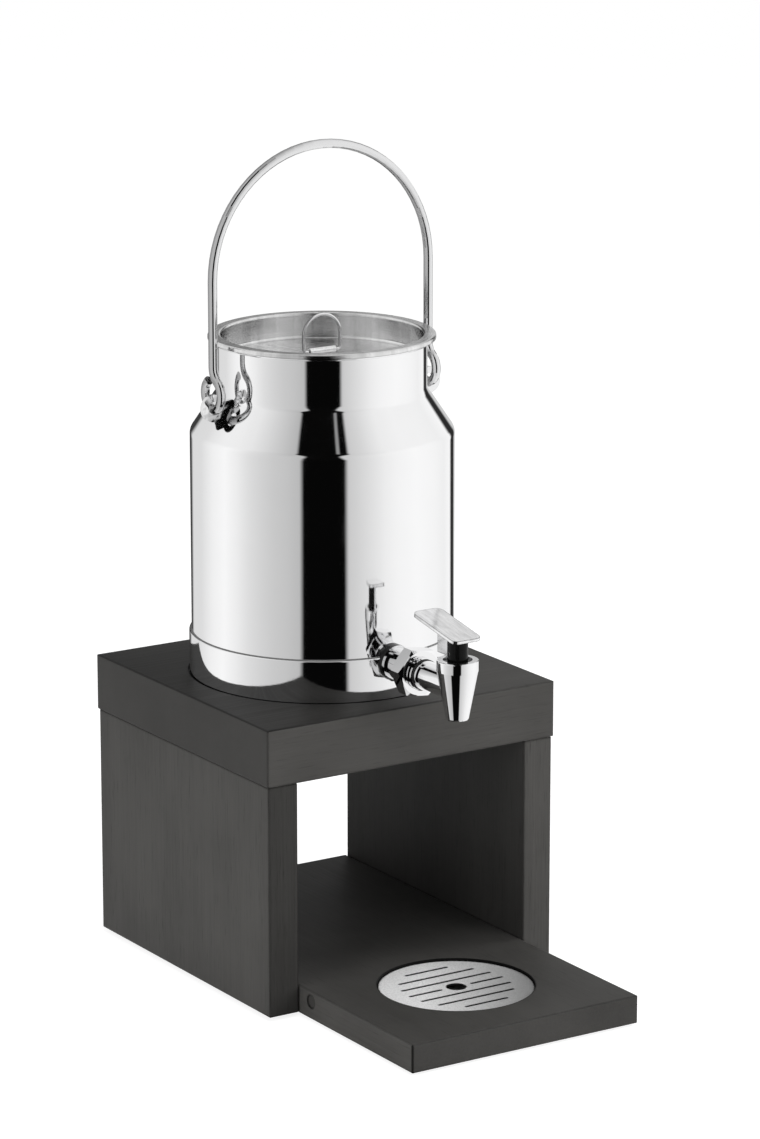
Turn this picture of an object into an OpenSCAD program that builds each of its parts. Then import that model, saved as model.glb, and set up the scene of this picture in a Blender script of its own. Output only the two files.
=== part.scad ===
// Milk dispenser: a stainless steel can with a lever tap, on a wooden stand with a drip tray.
// X runs left to right along the front, Y to the back and Z up, in millimetres.
// The origin is on the floor, under the middle of the whole footprint.

/* [Stand] */
// Width of the top board, left to right
stand_w = 220; // [206:1:300]
// Depth of the top board, front to back
stand_d = 220; // [206:1:300]
// Thickness of the top board
top_t = 38; // [28:0.5:50]
// Thickness of each side board
side_t = 22; // [14:0.5:30]
// Height of the side boards
side_h = 154; // [110:1:220]
// Step of the side boards inside the edges of the top board
side_inset = 1; // [0:0.5:6]
// Rounding of the boards' edges
edge_r = 1.5; // [0.5:0.1:3]
// Height of the rubber feet under the side boards
foot_h = 2.5; // [2:0.1:8]
// Diameter of the rubber feet
foot_d = 12; // [8:0.5:13]
// Distance of the rubber feet from the ends of the side boards
foot_in = 20; // [10:1:60]
// Depth of the round recess that the can stands in
seat_depth = 2; // [1:0.5:6]
// Clearance round the can in its recess
seat_gap = 1; // [0.5:0.1:3]
// Diameter of the dowels that hold the top board on the side boards
dowel_d = 8; // [5:0.5:10]
// Length of the dowels
dowel_len = 40; // [20:1:50]
// Distance of the outer dowels from the ends of the top board
dowel_in = 36; // [20:1:80]
// Clearance for glue round a dowel
dowel_gap = 0.1; // [0.05:0.05:0.3]

/* [Drip tray] */
// Reach of the tray board in front of the stand
tray_ext = 131; // [112:1:200]
// Thickness of the tray board
tray_t = 19; // [17:0.5:24]
// Clearance between the tray board and each side board
tray_gap = 0.9; // [0.5:0.1:4]
// Height of the rubber feet under the tray board
tray_foot_h = 1.5; // [1:0.1:6]
// Distance of the tray's feet from its edges
tray_foot_in = 12.5; // [8:0.5:30]
// Diameter of the plugs in the tray's sides
plug_d = 9; // [5:0.5:11]
// Length of the plugs
plug_len = 10; // [6:0.5:15]
// Distance of the plugs in front of the side boards
plug_ahead = 13; // [8:0.5:30]
// Depth of the plugs' centres below the tray's top
plug_drop = 7; // [6.5:0.1:9]
// Distance of the plugs' faces inside the tray's sides
plug_set = 0.8; // [0.2:0.1:2]

/* [Drip grille and bowl] */
// Diameter of the grille
grille_d = 100.4; // [90:0.2:104]
// Thickness of the grille
grille_t = 1.5; // [1:0.1:2.5]
// Clearance round the grille in the tray's recess
grille_gap = 0.8; // [0.4:0.1:2]
// Depth of the grille's face below the tray's top
grille_drop = 1.7; // [0.5:0.1:3]
// Diameter of the finger hole
finger_d = 13; // [10:0.5:18]
// Distance between rows of slots
slot_pitch = 11.7; // [9:0.1:12.4]
// Width of a slot
slot_w = 1.8; // [1:0.1:3]
// Half of the slot pattern, along the slots
slot_half_x = 36; // [30:0.5:42]
// Half of the slot pattern, across the slots
slot_half_y = 39.4; // [38:0.2:43]
// Solid metal left between the finger hole and the slots beside it
slot_gap = 4.5; // [2:0.5:8]
// Sheet thickness of the drip bowl
bowl_t = 0.8; // [0.5:0.1:1.2]
// Inner diameter of the drip bowl
bowl_d = 90; // [80:0.5:94]
// Depth of the drip bowl below its flange
bowl_depth = 10; // [6:0.5:11]
// Clearance round and under the bowl in the tray
bowl_gap = 0.6; // [0.3:0.1:1.2]

/* [Can] */
// Outer diameter of the can's straight wall
body_d = 173.2; // [168:0.2:176]
// Sheet thickness of the can
skin_t = 1; // [0.8:0.1:1.5]
// Height of the straight wall above the can's lower edge
wall_h = 164; // [120:1:220]
// Height of the conical shoulder
shoulder_h = 27; // [24:0.5:32]
// Radius of the bends from wall to shoulder and from shoulder to neck
shoulder_bend = 8; // [3:0.5:12]
// Outer diameter of the neck
neck_d = 137.2; // [132:0.2:142]
// Height of the rim above the can's lower edge
rim_h = 227; // [220:0.5:260]
// Radius of the rolled edge round the rim
roll_r = 1.9; // [1.2:0.1:3]
// Reach of the rolled edge's centre outside the neck
roll_out = 2.6; // [2:0.1:5]
// Height of the foot ring
ring_h = 30; // [27:0.5:32]
// Sheet thickness of the foot ring
ring_t = 1.6; // [1:0.1:2.4]
// Width of the foot ring's turned-in lower lip
lip_w = 4; // [3:0.5:20]
// Height of the can's bottom sheet above its lower edge
floor_h = 5; // [3:0.5:8]

/* [Bail handle] */
// Diameter of the bail's wire
bail_d = 6; // [4.6:0.1:6.6]
// Radius of the wire's centreline in the loops
loop_r = 10; // [9.4:0.1:12]
// Height of the arch's spring line above the loops' centres
bail_arm = 73; // [66:1:110]
// Height above the loops' centres at which the arms start to bend
bend_h = 18; // [16.5:0.5:20]
// Angle from the top of a loop to its open tip
tip_a = 35; // [30:1:60]
// Thickness of the ears
ear_t = 3; // [2:0.1:4]
// Radius of the round end of the ears
ear_r = 9; // [8:0.1:9.6]
// Diameter of the hole in the ears
ear_hole = 9; // [8.2:0.1:9.8]
// Distance of the hole from the shoulder
ear_reach = 9.2; // [8.8:0.1:10]
// Distance of the ears up the shoulder from its lower edge
ear_up = 21.5; // [19:0.1:22]
// Half the length of the ears' foot along the shoulder
ear_foot = 11; // [9.5:0.1:14]
// Height of the wire above the lower side of the hole
bail_lift = 0.5; // [0.2:0.05:0.8]

/* [Lid] */
// Sheet thickness of the lid
lid_t = 0.8; // [0.6:0.1:1.2]
// Clearance between the lid's wall and the neck
lid_gap = 0.9; // [0.6:0.1:2]
// Depth of the lid's floor below its flange
lid_depth = 17; // [12:0.5:22]
// Radius of the raised middle of the lid's floor
plateau_r = 42; // [34:0.5:56]
// Height of the raised middle
plateau_h = 2; // [1:0.1:4]
// Height of the lid's turned-down edge
lid_edge_h = 3; // [2:0.1:6]
// Clearance between the turned-down edge and the rolled rim
lid_edge_gap = 0.5; // [0.3:0.1:1.5]
// Diameter of the lid ring's wire
ring_wire = 2.2; // [1.6:0.1:3]
// Half the width of the lid ring, between wire centres
ring_half = 14; // [12.8:0.1:18]
// Length of the lid ring's straight legs, with their lower bends
ring_leg = 10; // [6:0.5:16]
// Radius of the lid ring's lower bends
ring_bend = 2.5; // [2:0.1:2.8]
// Length of the bracket that holds the lid ring
bracket_len = 20; // [12:0.5:20]
// Width of the bracket's base plate
bracket_w = 12; // [7:0.5:20]
// Thickness of the bracket's sheet
bracket_t = 1; // [0.8:0.1:1.2]
// Running clearance of the lid ring in its bracket, on the radius
ring_fit = 0.06; // [0.03:0.01:0.1]

/* [Tap] */
// Height of the tap's axis above the can's lower edge
tap_h = 25.5; // [24:0.5:27]
// Distance of the spout's axis from the can's wall
spout_reach = 74; // [72:0.5:82]
// Diameter of the gaskets and of the shank's flange
flange_d = 24; // [22.5:0.5:27]
// Thickness of the outer gasket over the foot ring
gasket_t = 2.5; // [1.5:0.1:4]
// Thickness of the shank's flange
flange_t = 2.5; // [1.5:0.1:4]
// Outer diameter of the shank in front of the can
shank_d = 21; // [19.6:0.2:22]
// Outer diameter of the shank's tail through the can's wall
tail_d = 16; // [13:0.5:17]
// Reach of the shank's tail inside the can's wall
tail_in = 12; // [11:0.5:20]
// Diameter of the milk bore through the shank and the tube
bore_d = 10; // [6:0.5:11]
// Clearance on the radius where the shank's tail passes the sheets
tail_gap = 0.2; // [0.1:0.05:0.5]
// Clearance on the radius in the threads
thread_gap = 0.05; // [0.02:0.01:0.1]
// Distance of the shank's end from the can's wall
shank_out = 26.5; // [26:0.1:30]
// Thickness of the flat seal between shank and tap body
seal_t = 1.5; // [1:0.1:3]
// Thickness of the tap body's tail flange
tail_flange_t = 1.5; // [1:0.1:3]
// Length of the union nut
nut_len = 11; // [8:0.5:13]
// Width of the union nut across its flats
nut_af = 29.5; // [27.5:0.5:31]
// Thickness of the union nut's front web
nut_web = 2.5; // [1.5:0.1:4]
// Turn of the union nut about its axis
nut_turn = -8; // [-30:1:30]
// Outer diameter of the tube between nut and spout
tube_d = 17.5; // [15:0.5:18.4]
// Diameter of the collar in front of the nut
collar_d = 21.6; // [19.2:0.2:24]
// Length of the collar
collar_len = 3.5; // [2.5:0.5:8]
// Thickness of the O-ring in front of the collar
o_ring_d = 3; // [2:0.1:3.6]
// Depth of the O-ring's centre under the tube's surface
o_ring_in = 0.15; // [0:0.05:0.5]
// Diameter of the low shoulder in front of the O-ring
o_shoulder_d = 19.4; // [18.6:0.2:20.4]
// Length of the low shoulder
o_shoulder_len = 1.6; // [1:0.2:3]
// Width of the back nut across its flats
back_nut_af = 24; // [21:0.5:25]
// Length of the back nut
back_nut_len = 5; // [3:0.5:7]
// Thickness of the inner gasket at its thinnest
inner_gasket_t = 1.5; // [1:0.1:2.5]

/* [Spout and valve] */
// Outer diameter of the spout's upper part
spout_d = 27; // [25.4:0.2:32]
// Height of the spout's top above the tap's axis
spout_top = 19; // [17.5:0.5:24]
// Height of the spout's cylindrical part's lower edge above the axis
cone_top = 12; // [6:0.5:15]
// Depth of the spout's mouth below the tap's axis
spout_drop = 20; // [18:0.5:24]
// Outer diameter of the spout's mouth
mouth_d = 15; // [12.4:0.2:18]
// Diameter of the outlet bore
outlet_d = 9; // [6:0.2:10]
// Diameter of the bonnet's thread
bonnet_d = 19; // [18.6:0.2:21]
// Length of the bonnet
bonnet_len = 8; // [7:0.5:9]
// Depth of the bonnet's top below the spout's top
bonnet_drop = 1; // [0.5:0.1:2]
// Upper diameter of the valve chamber
chamber_d = 17.5; // [16.5:0.5:18]
// Depth of the valve seat below the tap's axis
seat_drop = 8.5; // [7.5:0.5:10]
// Diameter of the valve chamber at the seat
seat_d = 15; // [14:0.2:16]
// Diameter of the valve stem
stem_d = 5; // [4:0.1:5.6]
// Running clearance of the stem and the pin, on the radius
run_gap = 0.06; // [0.03:0.01:0.1]
// Diameter of the seat seal
seal_d = 13; // [11.5:0.1:13.4]
// Height of the seat seal
seal_h = 4; // [3:0.1:5]
// Depth of the stem's end in the seat seal
seal_in = 2.5; // [1.5:0.1:2.8]
// Diameter of the stem's spring collar
stem_collar_d = 10; // [9.6:0.1:11]
// Thickness of the stem's spring collar
stem_collar_t = 1.2; // [0.8:0.1:2]
// Mean diameter of the valve spring
spring_d = 8; // [7.2:0.1:8.6]
// Wire diameter of the valve spring
spring_wire = 0.9; // [0.6:0.1:1.2]
// Turns of the valve spring
spring_turns = 6; // [4:1:8]
// Thickness of the ring that seals the stem
stem_seal_d = 1.7; // [1.2:0.1:2.2]

/* [Lever] */
// Diameter of the lever's hub
hub_d = 13.3; // [12.6:0.1:15]
// Gap between the hub and the bonnet
hub_gap = 0.3; // [0.2:0.05:0.8]
// Gap between the lever's web and the spout's rim
rock_gap = 0.3; // [0.2:0.05:0.8]
// Height of the pin above the hub's lower edge
pin_h = 5.2; // [4:0.1:7]
// Diameter of the pin
pin_d = 2.5; // [1.8:0.1:2.8]
// Height of the stem above the pin's centre
stem_over = 2.8; // [2:0.1:3.4]
// Clearance between the stem and the sides of its slot in the hub
slot_side = 0.25; // [0.2:0.05:0.6]
// Clearance before and behind the stem in its slot
slot_swing = 2; // [1.8:0.1:2.4]
// Thickness of the web under the paddle
web_t = 2.3; // [1.5:0.1:4]
// Depth of the web's end in the hub's back
web_in = 1.2; // [0.6:0.1:1.6]
// Reach of the web behind the spout's axis
web_back = 21.4; // [15:0.2:26]
// Width of the paddle
paddle_w = 21.5; // [16:0.5:28]
// Length of the paddle
paddle_len = 49.8; // [46:0.2:56]
// Thickness of the paddle
paddle_t = 2.2; // [1.6:0.1:4]
// Reach of the paddle behind the spout's axis
paddle_back = 37; // [32:0.5:40]
// Height of the paddle's back edge above the tap's axis
paddle_z = 43.4; // [42:0.2:50]
// Tilt of the paddle, down to the front
paddle_tilt = 10.4; // [6:0.2:12]
// Radius of the paddle's back corners
paddle_r_back = 5; // [3:0.5:9]
// Radius of the paddle's front corners
paddle_r_front = 4; // [1:0.5:7]

/* [Hidden] */
$fn = 72;

// Overlap of a cutting shape past the face that it opens
cut = 1;

// Stand and tray
front_y = (tray_ext - stand_d) / 2;
back_y = front_y + stand_d;
top_z = foot_h + side_h + top_t;
side_d = stand_d - 2 * side_inset;
side_x = stand_w / 2 - side_inset - side_t / 2;
tray_w = stand_w - 2 * (side_inset + side_t + tray_gap);
tray_d = stand_d - side_inset + tray_ext;
tray_y = back_y - side_inset - tray_d / 2;
tray_z = tray_foot_h + tray_t;

// Can: heights in its modules count from its lower edge
can_y = front_y + stand_d / 2;
can_z = top_z - seat_depth;
body_r = body_d / 2;
neck_r = neck_d / 2;
slope_a = atan2(body_r - neck_r, shoulder_h);
// The bends start and end at equal distances from the corners that they round
bend_cut = shoulder_bend * tan(slope_a / 2);
seam_z = wall_h - bend_cut;
neck_z = wall_h + shoulder_h + bend_cut;
roll_x = neck_r + roll_out;
roll_z = rim_h - roll_r - 0.1;

// Tap: distances from the can's wall, heights from the tap's axis
tap_z = can_z + tap_h;
spout_y = can_y - body_r - spout_reach;
gasket_out = ring_t + gasket_t;
flange_out = gasket_out + flange_t;
tail_flange_out = shank_out + seal_t + tail_flange_t;
nut_out = tail_flange_out + nut_web;
collar_out = nut_out + collar_len;
wall_in = body_r - skin_t;
// Fall of the wall's inner face behind its middle, at the edge of the inner gasket
wall_fall = wall_in - sqrt(pow(wall_in, 2) - pow(flange_d / 2, 2));
inner_gasket_in = skin_t + wall_fall + inner_gasket_t;
bonnet_z = spout_top - bonnet_drop;
bonnet_low = bonnet_z - bonnet_len;
hub_z = bonnet_z + hub_gap;
pin_z = hub_z + pin_h;
stem_z = pin_z + stem_over;
collar_z = -seat_drop + seal_h;
spring_low = collar_z + stem_collar_t;

// Grille recess: the grille lies on the bowl's flange, and the flange on the recess's ledge
ledge_z = tray_z - grille_drop - grille_t - bowl_t;
recess_r = grille_d / 2 + grille_gap;
bowl_r = bowl_d / 2;

// Bail: the wire passes through the ears' holes at the lowest point of its loops
ear_x = body_r - ear_up * sin(slope_a);
ear_z = wall_h + ear_up * cos(slope_a);
hole_x = ear_x + ear_reach * cos(slope_a);
hole_z = ear_z + ear_reach * sin(slope_a);
loop_z = hole_z - ear_hole / 2 + bail_d / 2 + bail_lift + loop_r;
// The bend from an arm into its loop touches both
bend_r = (pow(bend_h, 2) - pow(loop_r, 2)) / (2 * loop_r);
bend_a = atan2(bend_h, bend_r);
// Facets along a loop, a bend and the arch
loop_steps = 30;
bend_steps = 6;
arch_steps = 36;

// Lid: heights in its modules count from the rim, which carries its flange
lid_wall_r = neck_r - skin_t - lid_gap;
lid_edge_r = roll_x + roll_r + lid_edge_gap + lid_t;
lid_floor = lid_t - lid_depth;
lid_top = lid_floor + plateau_h;
ring_z = lid_top + bracket_t + ring_wire / 2 + ring_fit + bracket_t - 0.1;

// Points along an arc about c, from angle a to angle b
function arc(c, r, a, b, n = 6) =
    [for (i = [0:n]) c + r * [cos(a + (b - a) * i / n), sin(a + (b - a) * i / n)]];

// Outline of a rectangle with rounded corners, centred on the origin
function round_box(w, h, r, n = 3) = concat(
    arc([w / 2 - r, h / 2 - r], r, 0, 90, n),
    arc([r - w / 2, h / 2 - r], r, 90, 180, n),
    arc([r - w / 2, r - h / 2], r, 180, 270, n),
    arc([w / 2 - r, r - h / 2], r, 270, 360, n)
);

// Board with rounded edges, standing on z = 0 and centred on the z axis
module board(w, d, h) {
    intersection() {
        linear_extrude(h) polygon(round_box(w, d, edge_r));
        translate([0, d / 2, h / 2]) rotate([90, 0, 0]) linear_extrude(d) polygon(round_box(w, h, edge_r));
        translate([-w / 2, 0, h / 2]) rotate([90, 0, 90]) linear_extrude(w) polygon(round_box(d, h, edge_r));
    }
}

// Rubber foot with its lower edge rounded off
module foot(h) {
    edge = 0.8;
    rotate_extrude()
        polygon(concat([[0, h], [0, 0]], arc([foot_d / 2 - edge, edge], edge, -90, 0), [[foot_d / 2, h]]));
}

// Children at the tap's root on the can's wall, with z pointing out to the front
module at_tap() {
    translate([0, can_y - body_r, tap_z]) rotate([90, 0, 0]) children();
}

// Children at the crossing of the tap's axis and the spout's axis
module at_spout() {
    translate([0, spout_y, tap_z]) children();
}

// Children at the can's lower edge, on its axis
module at_can() {
    translate([0, can_y, can_z]) children();
}

// Children at the rim, on the can's axis
module at_rim() {
    translate([0, can_y, can_z + rim_h]) children();
}

// Places of the dowels: the middles of the side boards, at the joint under the top board
module at_dowels() {
    for (x = [-side_x, side_x])
        for (y = [front_y + dowel_in, can_y, back_y - dowel_in])
            translate([x, y, foot_h + side_h]) children();
}

// Stand

module top_board() {
    color("#3b3937") difference() {
        translate([0, can_y, foot_h + side_h]) board(stand_w, stand_d, top_t);
        translate([0, can_y, can_z]) cylinder(r = body_r + ring_t + seat_gap, h = seat_depth + cut);
        at_dowels() translate([0, 0, -cut]) cylinder(d = dowel_d + 2 * dowel_gap, h = dowel_len / 2 + 2 * cut);
    }
}

module side_board(side) {
    color("#383634") difference() {
        translate([side * side_x, can_y, foot_h]) board(side_t, side_d, side_h);
        at_dowels() translate([0, 0, -dowel_len / 2]) cylinder(d = dowel_d + 2 * dowel_gap, h = dowel_len);
    }
}

module board_dowels() {
    color("#c9a26b") at_dowels() cylinder(d = dowel_d, h = dowel_len, center = true);
}

module stand_feet() {
    ends = [front_y + side_inset + foot_in, back_y - side_inset - foot_in];
    color("#1c1c1c") for (x = [-side_x, side_x]) for (y = ends) translate([x, y, 0]) foot(foot_h);
}

// Drip tray

// Children at the plugs in the tray's two sides, with z pointing out of the wood
module at_plugs() {
    for (side = [-1, 1])
        translate([side * tray_w / 2, front_y + side_inset - plug_ahead, tray_z - plug_drop])
            rotate([0, side * 90, 0]) children();
}

module tray_board() {
    pocket_d = bowl_depth + bowl_gap;
    color("#3b3937") difference() {
        translate([0, tray_y, tray_foot_h]) board(tray_w, tray_d, tray_t);
        translate([0, spout_y, ledge_z]) cylinder(r = recess_r, h = tray_t);
        translate([0, spout_y, ledge_z - pocket_d]) cylinder(r = bowl_r + bowl_t + bowl_gap, h = tray_t);
        at_plugs() translate([0, 0, -plug_set - plug_len]) cylinder(d = plug_d, h = plug_len + plug_set + cut);
    }
}

module tray_plugs() {
    color("#262423") at_plugs() translate([0, 0, -plug_set - plug_len]) cylinder(d = plug_d, h = plug_len);
}

module tray_feet() {
    x = tray_w / 2 - tray_foot_in;
    y = tray_d / 2 - tray_foot_in;
    color("#1c1c1c") for (i = [-1, 1]) for (j = [-1, 1]) translate([i * x, tray_y + j * y, 0]) foot(tray_foot_h);
}

// Pressed bowl: its flange lies on the recess's ledge, and its wall bends into a flat floor
module drip_bowl() {
    bend = 4;
    outer = concat([[0, -bowl_depth]],
        arc([bowl_r + bowl_t - bend, bend - bowl_depth], bend, -90, 0), [[bowl_r + bowl_t, cut]], [[0, cut]]);
    inner = concat([[-cut, bowl_t - bowl_depth]],
        arc([bowl_r + bowl_t - bend, bend - bowl_depth], bend - bowl_t, -90, 0),
        [[bowl_r, 2 * cut]], [[-cut, 2 * cut]]);
    color("#b9bcbf") translate([0, spout_y, ledge_z]) rotate_extrude() difference() {
        union() {
            intersection() {
                polygon(outer);
                translate([0, -2 * bowl_depth]) square([2 * bowl_r, 2 * bowl_depth + bowl_t]);
            }
            translate([bowl_r, 0]) square([grille_d / 2 - bowl_r, bowl_t]);
        }
        polygon(inner);
    }
}

// A slot from x = a to x = b with round ends
module slot(a, b) {
    r = slot_w / 2;
    polygon(concat(arc([b - r, 0], r, -90, 90, 8), arc([a + r, 0], r, 90, 270, 8)));
}

// Rows of slots whose ends lie on an oval, with the middle row split by the finger hole
module drip_grille() {
    color("#c4c4c4") translate([0, spout_y, ledge_z + bowl_t]) linear_extrude(grille_t) difference() {
        circle(d = grille_d);
        circle(d = finger_d);
        for (row = [-3:3]) translate([0, row * slot_pitch]) {
            half = slot_half_x * sqrt(1 - pow(row * slot_pitch / slot_half_y, 2));
            if (row != 0) slot(-half, half);
            else for (side = [0, 180]) rotate(side) slot(finger_d / 2 + slot_gap, half);
        }
    }
}

// Can

// Arcs of the two bends in a surface t inside the can's outside
function wall_bend(t, a, b) = arc([body_r - shoulder_bend, seam_z], shoulder_bend - t, a, b);
function neck_bend(t, a, b) = arc([neck_r + shoulder_bend, neck_z], shoulder_bend + t, a, b);

// Outer outline of wall, shoulder and neck, down to the can's axis
module can_outline(low) {
    polygon(concat([[0, low], [body_r, low]], wall_bend(0, 0, slope_a), neck_bend(0, 180 + slope_a, 180),
        [[neck_r, rim_h], [0, rim_h]]));
}

// Straight wall, standing on the bottom sheet
module can_body() {
    low = floor_h + skin_t;
    color("#cfd1d3") difference() {
        at_can() translate([0, 0, low]) cylinder(r = body_r, h = seam_z - low);
        at_can() cylinder(r = wall_in, h = seam_z + cut);
        at_tap() translate([0, 0, -tail_in]) cylinder(r = tail_d / 2 + tail_gap, h = 2 * tail_in);
    }
}

module can_bottom() {
    color("#bfc1c4") at_can() translate([0, 0, floor_h]) cylinder(r = body_r, h = skin_t);
}

// Shoulder and neck in one sheet on the wall, with a flat rim that ends in a rolled edge
module can_neck() {
    color("#cfd1d3") at_can() rotate_extrude() {
        polygon(concat(wall_bend(0, 0, slope_a), neck_bend(0, 180 + slope_a, 180),
            [[neck_r, rim_h], [neck_r - skin_t, rim_h]],
            neck_bend(skin_t, 180, 180 + slope_a), wall_bend(skin_t, slope_a, 0)));
        translate([neck_r - skin_t, rim_h - skin_t]) square([roll_x - neck_r + skin_t, skin_t]);
        translate([roll_x, roll_z]) circle(r = roll_r);
    }
}

// Skirt round the can's lower edge, turned in below to a lip that it stands on
module foot_ring() {
    edge = 0.8;
    color("#c6c8ca") difference() {
        at_can() rotate_extrude() polygon(concat([[body_r - lip_w, 0]],
            arc([body_r + ring_t - edge, edge], edge, -90, 0, 3), arc([body_r + ring_t - edge, ring_h - edge], edge, 0, 90, 3),
            [[body_r, ring_h], [body_r, ring_t], [body_r - lip_w, ring_t]]));
        at_tap() translate([0, 0, -tail_in]) cylinder(r = tail_d / 2 + tail_gap, h = 2 * tail_in);
    }
}

// Ear in the plane of the can's axis: a drilled round end on a flared foot that fits the shoulder
module ear(side) {
    sink = 4;
    flare = 4.5;
    color("#c6c8ca") difference() {
        at_can() mirror([side < 0 ? 1 : 0, 0, 0]) rotate([90, 0, 0])
            linear_extrude(ear_t, center = true) translate([ear_x, ear_z]) rotate(slope_a) difference() {
                union() {
                    translate([ear_reach, 0]) circle(r = ear_r);
                    polygon([[-sink, -ear_foot], [0.8, -ear_foot], [flare, 1.4 - ear_r],
                        [flare, ear_r - 1.4], [0.8, ear_foot], [-sink, ear_foot]]);
                }
                translate([ear_reach, 0]) circle(d = ear_hole);
            }
        at_can() rotate_extrude() can_outline(0);
    }
}

// Wire of diameter d along stations, each a centre, a direction and one normal to it
module wire(stations, d, sides) {
    points = [for (s = stations) for (j = [0:sides - 1])
        let (a = 360 * j / sides) s[0] + d / 2 * (cos(a) * s[2] + sin(a) * cross(s[1], s[2]))];
    walls = [for (i = [0:len(stations) - 2]) for (j = [0:sides - 1])
        let (a = i * sides + j, b = i * sides + (j + 1) % sides)
        each [[a, a + sides, b + sides], [a, b + sides, b]]];
    last = (len(stations) - 1) * sides;
    ends = [for (j = [1:sides - 2]) each [[0, j, j + 1], [last, last + j + 1, last + j]]];
    polyhedron(points = points, faces = concat(walls, ends));
}

// Stations from a loop's open tip round the loop and up the bend, for the side at x
function bail_end(x) = concat(
    [for (i = [0:loop_steps]) let (a = 450 - tip_a - i * (270 - tip_a + bend_a) / loop_steps)
        [[x, loop_r * cos(a), loop_r * sin(a)], [0, sin(a), -cos(a)], [1, 0, 0]]],
    [for (i = [1:bend_steps]) let (a = bend_a * (i / bend_steps - 1))
        [[x, bend_r * (cos(a) - 1), bend_h + bend_r * sin(a)], [0, -sin(a), cos(a)], [1, 0, 0]]]
);

// Stations over the arch, from the left arm to the right arm
function bail_arch() = [for (i = [0:arch_steps]) let (a = 180 - 180 * i / arch_steps)
    [[hole_x * cos(a), 0, bail_arm + hole_x * sin(a)], [sin(a), 0, -cos(a)], [-cos(a), 0, -sin(a)]]];

// The same stations, run the other way
function backwards(stations) =
    [for (i = [len(stations) - 1:-1:0]) [stations[i][0], -stations[i][1], -stations[i][2]]];

// One wire: an arch on two arms, which bend forward into open loops through the ears
module bail_handle() {
    color("#c6c8ca") translate([0, can_y, can_z + loop_z])
        wire(concat(bail_end(-hole_x), bail_arch(), backwards(bail_end(hole_x))), bail_d, 20);
}

// Lid

// A stretch of wire bent about the z axis, from angle a to angle b
module bent_wire(r, d, a, b) {
    rotate([0, 0, a]) rotate_extrude(angle = b - a) translate([r, 0]) circle(d = d);
}

// Pressed lid: raised middle, floor, wall inside the neck, flange on the rim and turned-down edge
module lid() {
    step = 2;
    foot_bend = 2;
    bend = 0.7;
    low = [lid_wall_r - lid_t - foot_bend, lid_floor + foot_bend];
    top = [lid_wall_r + bend, -bend];
    edge = [lid_edge_r - lid_t - bend, -bend];
    upper = concat([[0, lid_top], [plateau_r, lid_top], [plateau_r + step, lid_floor]],
        arc(low, foot_bend, -90, 0), arc(top, bend + lid_t, 180, 90), arc(edge, bend + lid_t, 90, 0),
        [[lid_edge_r, lid_t - lid_edge_h]]);
    lower = concat([[lid_edge_r - lid_t, lid_t - lid_edge_h]], arc(edge, bend, 0, 90), arc(top, bend, 90, 180),
        arc(low, foot_bend + lid_t, 0, -90),
        [[plateau_r + step - lid_t / 2, lid_floor - lid_t], [plateau_r - lid_t / 2, lid_top - lid_t], [0, lid_top - lid_t]]);
    color("#bfc1c4") at_rim() rotate_extrude() polygon(concat(upper, lower));
}

// Base plate with a barrel that the lid ring's straight side turns in
module lid_bracket() {
    wire_r = ring_wire / 2 + ring_fit;
    color("#c6c8ca") at_rim() difference() {
        union() {
            translate([0, 0, lid_top]) linear_extrude(bracket_t) polygon(round_box(bracket_len, bracket_w, 2, 6));
            translate([0, 0, ring_z]) rotate([0, 90, 0])
                cylinder(r = wire_r + bracket_t, h = bracket_len, center = true);
            translate([-bracket_len / 2, -wire_r, lid_top]) cube([bracket_len, 2 * wire_r, ring_z - lid_top]);
        }
        translate([0, 0, ring_z]) rotate([0, 90, 0])
            cylinder(r = wire_r, h = bracket_len + 2 * cut, center = true);
    }
}

// Closed ring: straight side below, two legs and a half round above
module lid_ring() {
    color("#cfd1d3") at_rim() translate([0, 0, ring_z]) {
        rotate([0, 90, 0]) cylinder(d = ring_wire, h = 2 * (ring_half - ring_bend), center = true);
        rotate([90, 0, 0]) {
            translate([0, ring_leg]) bent_wire(ring_half, ring_wire, 0, 180);
            translate([ring_half - ring_bend, ring_bend]) bent_wire(ring_bend, ring_wire, -90, 0);
            translate([ring_bend - ring_half, ring_bend]) bent_wire(ring_bend, ring_wire, 180, 270);
        }
        for (x = [-ring_half, ring_half])
            translate([x, 0, ring_bend]) cylinder(d = ring_wire, h = ring_leg - ring_bend);
    }
}

// Tap

// Ring along the tap's axis, from distance a to distance b off the can's wall
module tap_tube(outer_d, inner_r, a, b) {
    at_tap() translate([0, 0, a]) difference() {
        cylinder(d = outer_d, h = b - a);
        translate([0, 0, -cut]) cylinder(r = inner_r, h = b - a + 2 * cut);
    }
}

// Hexagon nut with its corners turned off on both faces, bored through, from distance a to b
module hex_nut(af, bore_r, a, b, turn) {
    tip_r = af / 2 / cos(30);
    off = tip_r - af / 2 + 0.4;
    len = b - a;
    at_tap() translate([0, 0, a]) difference() {
        intersection() {
            rotate(turn) cylinder(r = tip_r, h = len, $fn = 6);
            rotate_extrude() polygon([[0, 0], [tip_r - off, 0], [tip_r + cut, (off + cut) / 2],
                [tip_r + cut, len - (off + cut) / 2], [tip_r - off, len], [0, len]]);
        }
        translate([0, 0, -cut]) cylinder(r = bore_r, h = len + 2 * cut);
    }
}

// Soft washer that takes up the round wall and the foot ring's edge behind the flange
module outer_gasket() {
    color("#2a2a2a") difference() {
        tap_tube(flange_d, tail_d / 2, -4, gasket_out);
        at_can() cylinder(r = body_r, h = rim_h, $fn = 720);
        at_can() cylinder(r = body_r + ring_t, h = ring_h, $fn = 720);
    }
}

module inner_gasket() {
    color("#2a2a2a") intersection() {
        tap_tube(flange_d, tail_d / 2, -inner_gasket_in, 1);
        at_can() cylinder(r = wall_in, h = rim_h, $fn = 720);
    }
}

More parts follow.
